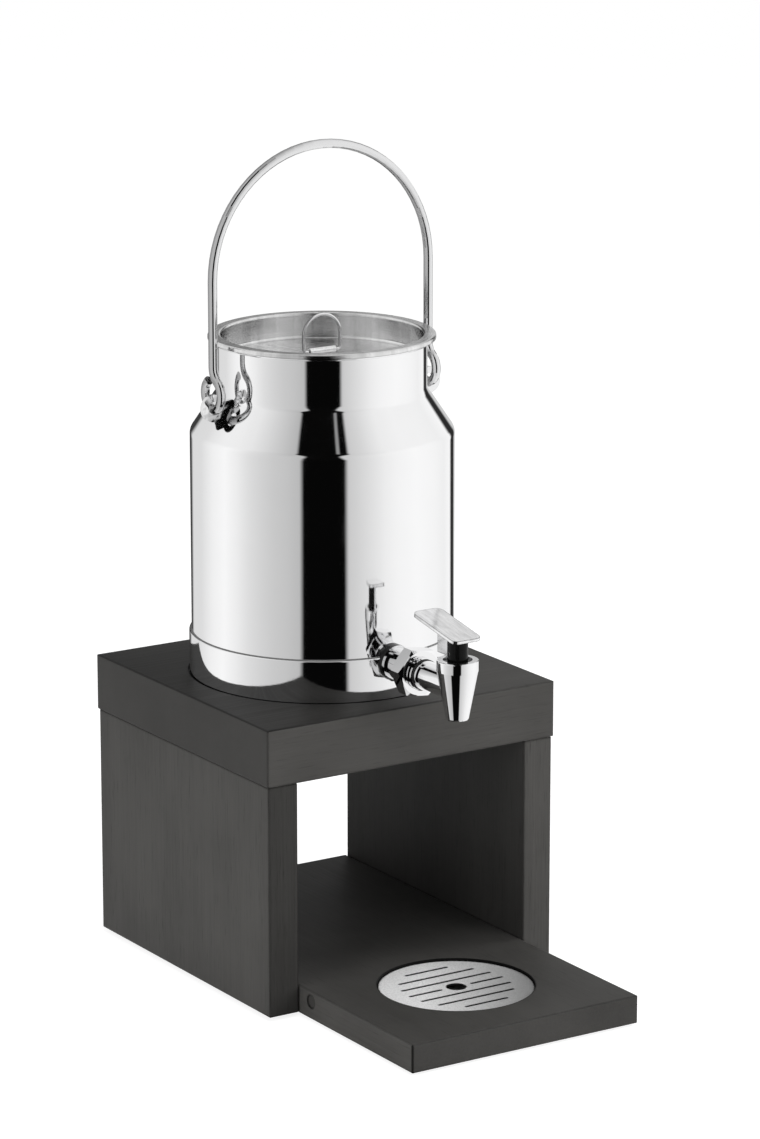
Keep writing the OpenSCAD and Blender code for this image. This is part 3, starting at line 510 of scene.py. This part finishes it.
def brushed(name, level, rough, along, metal=1.0, top=None, painted_edges=False, sheen=None):
    """Steel brushed in straight lines along one axis, with fine speckle; top, the height of its upper face,
    below which it is painted dark as shade; sheen, a painted sheen: an axis, the range beside it over which
    the tone falls to the right, and its last tone."""
    material, g, shader = surface(name)
    place = in_object(g)
    lines = g.noise(g.stretch(place, one_way(along, 25, 2400)), 1, 4, 0.7)
    speckle = g.noise(place, 1300, 2, 0.7)
    tone = g.times(g.vary(lines, 0.25, 0.93, 1.06), g.remap(speckle, 0.35, 0.7, 0.80, 1.14))
    tone = g.times(tone, level)
    if sheen is not None:
        axis_y, low, high, last = sheen
        across = g.vector("DOT_PRODUCT", g.vector("SUBTRACT", place, (0, axis_y, 0)), GAP_SIDE)
        tone = g.times(tone, g.remap(across, low, high, 1.0, last))
    if top is not None:
        # Painted shade: dark below the upper face, in the slots, and dark lines at the slots' edges
        tone = g.times(tone, g.remap(g.parts(place)["Z"], top - 0.0002, top - 0.0001, 0.02, 1.0))
        tone = g.times(tone, edge_tone(g, 0.0014, 0.0, 0.9995))
    if painted_edges:
        # Painted reflection: dark lines at the edges
        tone = g.times(tone, edge_tone(g, 0.0008, 0.15))
    g.fill(shader, {
        "Metallic": metal,
        "Base Color": g.even(tone),
        "Roughness": g.vary(lines, 0.25, rough - 0.05, rough + 0.06),
        "Anisotropic": 0.7,
        "Tangent": g.join(*one_way(along, 1.0, 0.0)),
        "Normal": g.bump(lines, 0.3, 0.0002),
    })
    return material


def moulded(name, colour, rough, grain):
    """Rubber or silicone with a fine moulded grain."""
    material, g, shader = surface(name)
    fine = g.noise(in_object(g), grain, 3, 0.6)
    tone = g.even(g.vary(fine, 0.2, 0.85, 1.12))
    g.fill(shader, {
        "Base Color": g.mix(1.0, (*colour, 1), tone, "MULTIPLY"),
        "Roughness": g.vary(fine, 0.2, rough, rough + 0.12),
        "Normal": g.bump(fine, 0.3, 0.0002),
    })
    return material


def plastic(name, level, rough):
    """Black moulded plastic or glossy rubber."""
    material, g, shader = surface(name)
    fine = g.noise(in_object(g), 700, 3, 0.6)
    g.fill(shader, {
        "Base Color": g.even(g.vary(fine, 0.2, level * 0.8, level * 1.2)),
        "Roughness": g.vary(fine, 0.2, rough, rough + 0.06),
        "Specular IOR Level": 0.1,
        "Normal": g.bump(fine, 0.08, 0.0002),
    })
    return material


def dress(material, *names):
    for name in names:
        mesh = nodes[name].data
        mesh.materials.clear()
        mesh.materials.append(material)


# Pieces

LATHE_STEPS, LATHE_SHARP = 256, 35
COIL_STEPS, COIL_SIDES, COIL_SHARP = 32, 12, 50


def make_piece(name, points, faces, sharp_degrees, material):
    mesh = bpy.data.meshes.new(name)
    mesh.from_pydata(points, [], faces)
    mesh.validate()
    mesh.shade_smooth()
    mesh.set_sharp_from_angle(angle=math.radians(sharp_degrees))
    mesh.materials.append(material)
    return link(bpy.data.objects.new(name, mesh))


def arc(centre, r, a, b, n=10):
    """Points on an arc from angle a to angle b, in degrees."""
    turn = [math.radians(a + (b - a) * i / n) for i in range(n + 1)]
    return [(centre[0] + r * math.cos(t), centre[1] + r * math.sin(t)) for t in turn]


def lathe(name, outline, axis, material, body):
    """Closed outline of (radius, height) points in millimetres, turned about a vertical axis."""
    points, faces = [], []
    count = len(outline)
    for i in range(LATHE_STEPS):
        t = 2 * math.pi * i / LATHE_STEPS
        for r, z in outline:
            points.append((axis[0] + r * math.cos(t) / 1000, axis[1] + r * math.sin(t) / 1000,
                           axis[2] + z / 1000))
        here, ahead = i * count, (i + 1) % LATHE_STEPS * count
        for j in range(count):
            k = (j + 1) % count
            faces.append((here + j, ahead + j, ahead + k, here + k))
    piece = make_piece(name, points, faces, LATHE_SHARP, material)
    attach(piece, body)
    return piece


def coil(name, axis_y, low, high, mean_r, wire_r, turns, material):
    """A coil spring of round wire about a vertical axis, from the heights low to high, with capped ends."""
    rings = turns * COIL_STEPS
    sides = COIL_SIDES
    base, rise = low + wire_r, high - low - 2 * wire_r
    slope = math.atan2(rise, 2 * math.pi * mean_r * turns)
    points, faces = [], []
    for i in range(rings + 1):
        a = 2 * math.pi * i / COIL_STEPS
        out = Vector((math.cos(a), math.sin(a), 0))
        lift = Vector((math.sin(a) * math.sin(slope), -math.cos(a) * math.sin(slope), math.cos(slope)))
        centre = Vector((0, axis_y, base + rise * i / rings)) + mean_r * out
        for j in range(sides):
            b = 2 * math.pi * j / sides
            points.append(centre + wire_r * (math.cos(b) * out + math.sin(b) * lift))
    for i in range(rings):
        here, ahead = i * sides, (i + 1) * sides
        for j in range(sides):
            k = (j + 1) % sides
            faces.append((here + j, ahead + j, ahead + k, here + k))
    faces.append(tuple(range(sides)))
    faces.append(tuple(reversed(range(rings * sides, (rings + 1) * sides))))
    piece = make_piece(name, points, faces, COIL_SHARP, material)
    return piece


make_camera()
make_world()
make_floor()
for lamp in LAMPS:
    make_lamp(*lamp)

# Wood
CAN_RECESS_R, TRAY_RECESS_R = 0.0893, 0.0511
tray_low, tray_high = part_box("tray_board")
# Painted shade on the top board: darker towards the left, where the can shades it, and in the recess
top_painted_layers = (  # drift: axis, from, to, its two tones, share on the left faces
    (painted_shade_drift, 0, -0.11, 0.07, 0.30, 1.0, 0.45),
    (under_lamp, 0.62),
    (painted_recess_shade, CAN_Y, CAN_RECESS_R),
)
# Painted shade on the tray: darker towards the back inside the stand, deeper on its front faces, paler on its
# left ones, and in the recess
tray_painted_layers = (
    (painted_shade_drift, 1, -0.05, 0.10, 1.0, 0.42, 0.0),
    (under_lamp, 0.66, (-0.069, 0.021)),
    (painted_front_light, tray_high[0], tray_low[1]),
    (painted_recess_shade, SPOUT_Y, TRAY_RECESS_R),
)
dress(wood("wood_top", 79, along=0, seed=0.0, grain=0.55, painted_layers=top_painted_layers), "top_board")
# Painted shade on the side boards' inner faces and on the left board's front edge
dress(wood("wood_side", 80, along=2, seed=0.37, painted_layers=((painted_inner_shade,),)),
      "left_side_board", "right_side_board")
dress(wood("wood_tray", 80, along=1, seed=0.81, grain=0.7, painted_layers=tray_painted_layers), "tray_board")
dress(wood("wood_plug", 74, along=0, seed=1.3), "tray_plugs")
dress(moulded("beech", (0.5, 0.34, 0.19), 0.5, 300), "board_dowels")

# Rubber, silicone and plastic
dress(moulded("rubber", (0.02, 0.02, 0.02), 0.6, 1800), "stand_feet", "tray_feet", "inner_gasket", "stem_seal")
dress(plastic("glossy_rubber", 0.02, 0.16), "outer_gasket", "tap_o_ring")
dress(moulded("silicone", (0.75, 0.73, 0.66), 0.4, 900), "union_seal", "seat_seal")
dress(plastic("black_plastic", 0.006, 0.05), "bonnet", "lever_hub")

# Steel
GRILLE_TOP_Z = 0.0188
GRILLE_SHEEN = (SPOUT_Y, -0.022, 0.045, 0.31)
can_steel = polished("can_steel", SHINE)
spring_steel = polished("spring_steel", 0.55, 0.2)
dress(can_steel, "can_body", "foot_ring", "can_neck")
dress(turned("bottom_steel", 0.6, 0.35, CAN_Y), "can_bottom")
dress(polished("ear_steel", 0.82, 0.06, wave=1.6, scale=200), "left_ear", "right_ear")
dress(polished("wire_steel", 0.74, 0.10, sides=0.4), "bail_handle")
dress(turned("lid_steel", 0.82, 0.15, CAN_Y, painted_streak=0.2), "lid")
dress(brushed("bracket_steel", 0.95, 0.3, along=0, painted_edges=True), "lid_bracket")
dress(polished("ring_steel", 0.76, 0.04, sides=0.12), "lid_ring")
dress(polished("tap_steel", 0.88, 0.03), "tap_shank", "union_nut", "tap_collar", "tap_body", "back_nut",
      "valve_stem", "lever_pin")
dress(polished("lever_steel", 0.9, 0.1, wave=1.2, scale=55, painted_edges=True), "tap_lever")
dress(spring_steel, "valve_spring")
dress(brushed("grille_steel", 1.0, 0.62, along=0, metal=0.12, top=GRILLE_TOP_Z, sheen=GRILLE_SHEEN),
      "drip_grille")
dress(turned("bowl_steel", 0.34, 0.4, SPOUT_Y), "drip_bowl")

# The can's shoulder and neck in one smooth sheet, with a flat rim and a rolled edge, in millimetres
BODY_R, NECK_R, SKIN, BEND, RIM_Z = 86.6, 68.6, 1.0, 8.0, 227.0
SHOULDER_LOW, SHOULDER_HIGH, ROLL_R = 164, 191, 1.9
SLOPE = math.degrees(math.atan2(BODY_R - NECK_R, SHOULDER_HIGH - SHOULDER_LOW))
BEND_CUT = BEND * math.tan(math.radians(SLOPE / 2))
LOW_BEND = (BODY_R - BEND, SHOULDER_LOW - BEND_CUT)
HIGH_BEND = (NECK_R + BEND, SHOULDER_HIGH + BEND_CUT)
ROLL = (NECK_R + 2.6, RIM_Z - 2.0)
ROLL_START, ROLL_END = 138, 450
CAN_FOOT_Z = 0.1925
can_axis = (0, CAN_Y, CAN_FOOT_Z)
neck_outline = (
    arc(LOW_BEND, BEND, 0, SLOPE) + arc(HIGH_BEND, BEND, 180 + SLOPE, 180)
    + [(NECK_R, RIM_Z - SKIN)] + arc(ROLL, ROLL_R, ROLL_START, ROLL_END, 24)
    + [(NECK_R - SKIN, RIM_Z)]
    + arc(HIGH_BEND, BEND + SKIN, 180, 180 + SLOPE) + arc(LOW_BEND, BEND - SKIN, SLOPE, 0)
)
neck = lathe("neck_sheet", neck_outline, can_axis, can_steel, "can")
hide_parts("can_neck")

# A dark bead in the corner over the foot ring, in millimetres
RING_R, RING_Z = BODY_R + 1.6, 30
seam_outline = [
    (BODY_R, RING_Z), (RING_R - 0.7, RING_Z), (RING_R - 0.9, RING_Z + 0.25), (BODY_R + 0.3, RING_Z + 0.5),
    (BODY_R, RING_Z + 0.75),
]
dark_bead = moulded("dark_bead", (0.16, 0.16, 0.16), 0.35, 900)
lathe("foot_seam", seam_outline, can_axis, dark_bead, "can")

# The valve spring, a coil of round wire over the height of the part it takes the place of
COIL_R, COIL_WIRE_R, COIL_TURNS = 0.004, 0.00045, 6
spring_low, spring_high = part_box("valve_spring")
spring = coil("closing_spring", SPOUT_Y, spring_low[2], spring_high[2], COIL_R, COIL_WIRE_R, COIL_TURNS,
              spring_steel)
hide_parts("valve_spring")
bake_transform(spring)
